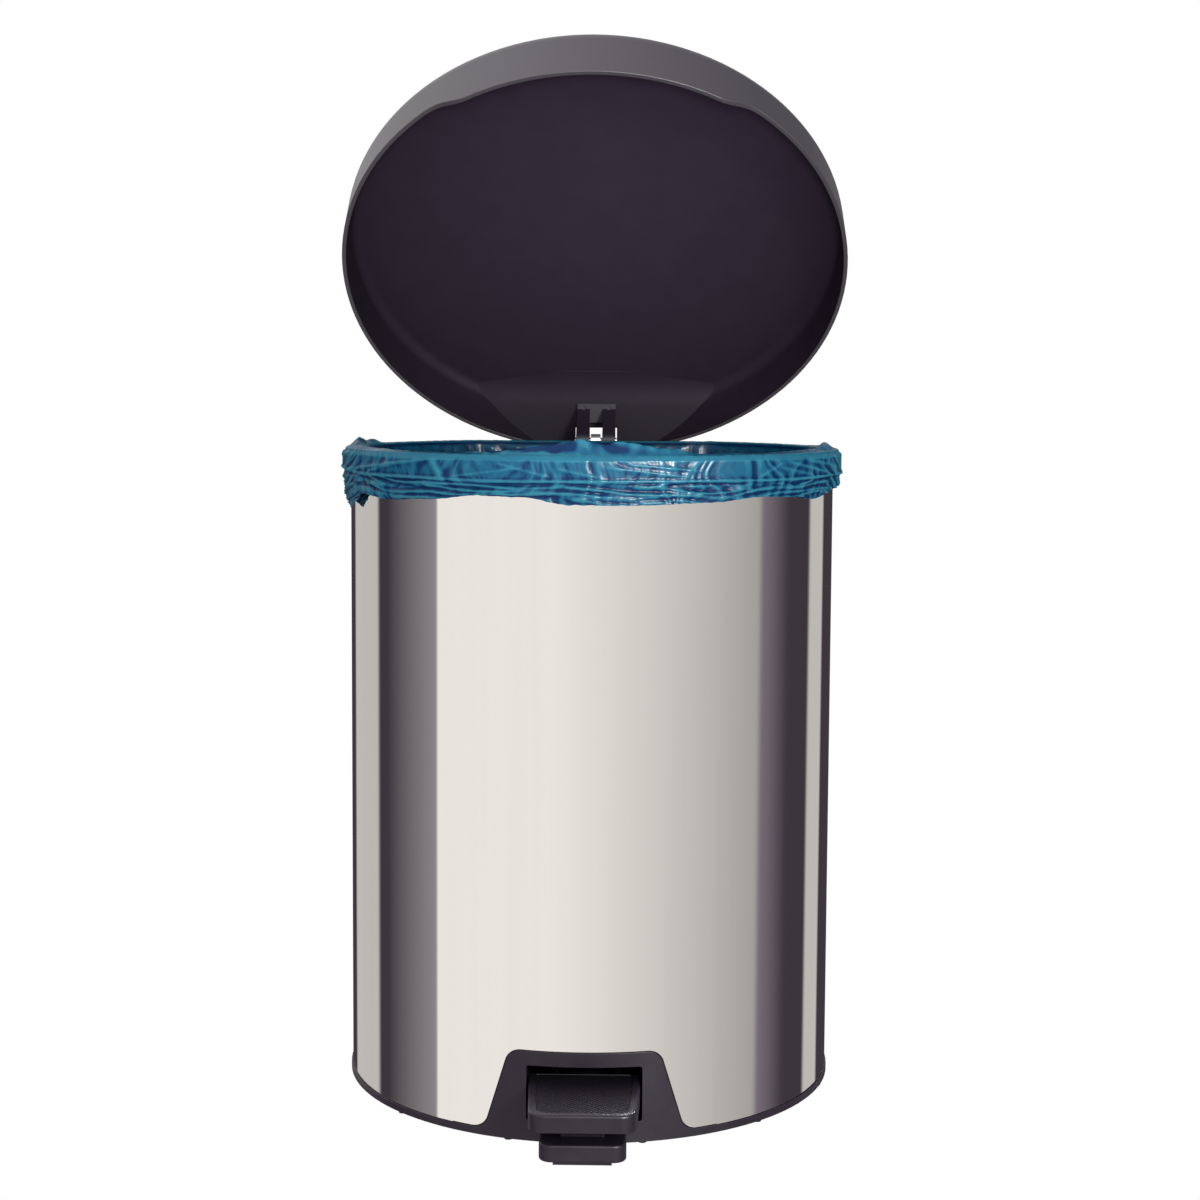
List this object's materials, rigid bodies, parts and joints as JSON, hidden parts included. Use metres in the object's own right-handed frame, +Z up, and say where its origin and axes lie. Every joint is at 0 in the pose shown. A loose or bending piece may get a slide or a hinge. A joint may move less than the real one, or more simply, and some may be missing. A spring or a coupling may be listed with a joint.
{
  "type": "pedal trash can",
  "caption": "Round pedal bin: polished steel shell on a moulded base, lift-out bucket with a film liner, and a moulded lid opened by a pedal through a lever and a push rod.",
  "frame": {"origin": "centre of the non-slip ring's underside, where the bin stands on the floor", "axes": "+Z up, -Y towards the pedal at the front, +Y towards the hinge, +X to the right for someone facing the pedal's back"},
  "size_m": [0.315, 0.3563, 0.6199],
  "materials": {
    "polished_steel": "mirror polished sheet",
    "plain_steel": "zinc plated",
    "black_steel": "black coated",
    "black_plastic": "moulded satin black",
    "pedal_plastic": "moulded black, finely textured pad",
    "lid_plastic": "matte inside, satin outside",
    "bucket_plastic": "moulded",
    "rubber": "matte",
    "liner_film": "thin polythene film"
  },
  "bodies": {
    "bin_body": {"body_shell": "polished_steel", "base": "black_plastic", "non_slip_ring": "rubber", "base_screws": "plain_steel", "hinge_bracket": "black_plastic", "hinge_backing_plate": "plain_steel", "bracket_screws": "plain_steel", "hinge_pin": "plain_steel", "hinge_clips": "plain_steel", "friction_washers": "rubber", "rod_guides": "black_plastic", "rear_deck": "black_plastic", "bucket": "bucket_plastic", "liner": "liner_film", "lever_axle": "black_steel", "axle_clips": "black_steel"},
    "lid": {"lid": "lid_plastic", "lid_hinge_arm": "black_plastic", "lid_arm_screws": "black_steel"},
    "push_rod": {"push_rod": "plain_steel", "rod_foot": "black_plastic", "link_pin": "plain_steel"},
    "pedal": {"pedal_lever": "black_steel", "pedal_tread": "pedal_plastic", "pedal_pad": "pedal_plastic", "pedal_bumper": "black_plastic", "pedal_screws": "plain_steel"}
  },
  "joints": [
    {"name": "lid_hinge", "type": "hinge", "parent": "bin_body", "child": "lid", "pos_m": [0, 0.1595, 0.3695], "axis": [-1, 0, 0], "range_deg": [-46.74, 6.26]},
    {"name": "pedal_hinge", "type": "hinge", "parent": "bin_body", "child": "pedal", "pos_m": [0, -0.065, 0.02], "axis": [1, 0, 0], "range_deg": [-6.34, 0.85]},
    {"name": "rod_slide", "type": "slide", "parent": "bin_body", "child": "push_rod", "axis": [0, 0, 1], "range_m": [-0.02203, 0.00295]}
  ],
  "couplings": [
    {"joint": "pedal_hinge", "follows": "lid_hinge", "ratio": 0.13568},
    {"joint": "rod_slide", "follows": "lid_hinge", "m_per_rad": 0.027}
  ]
}
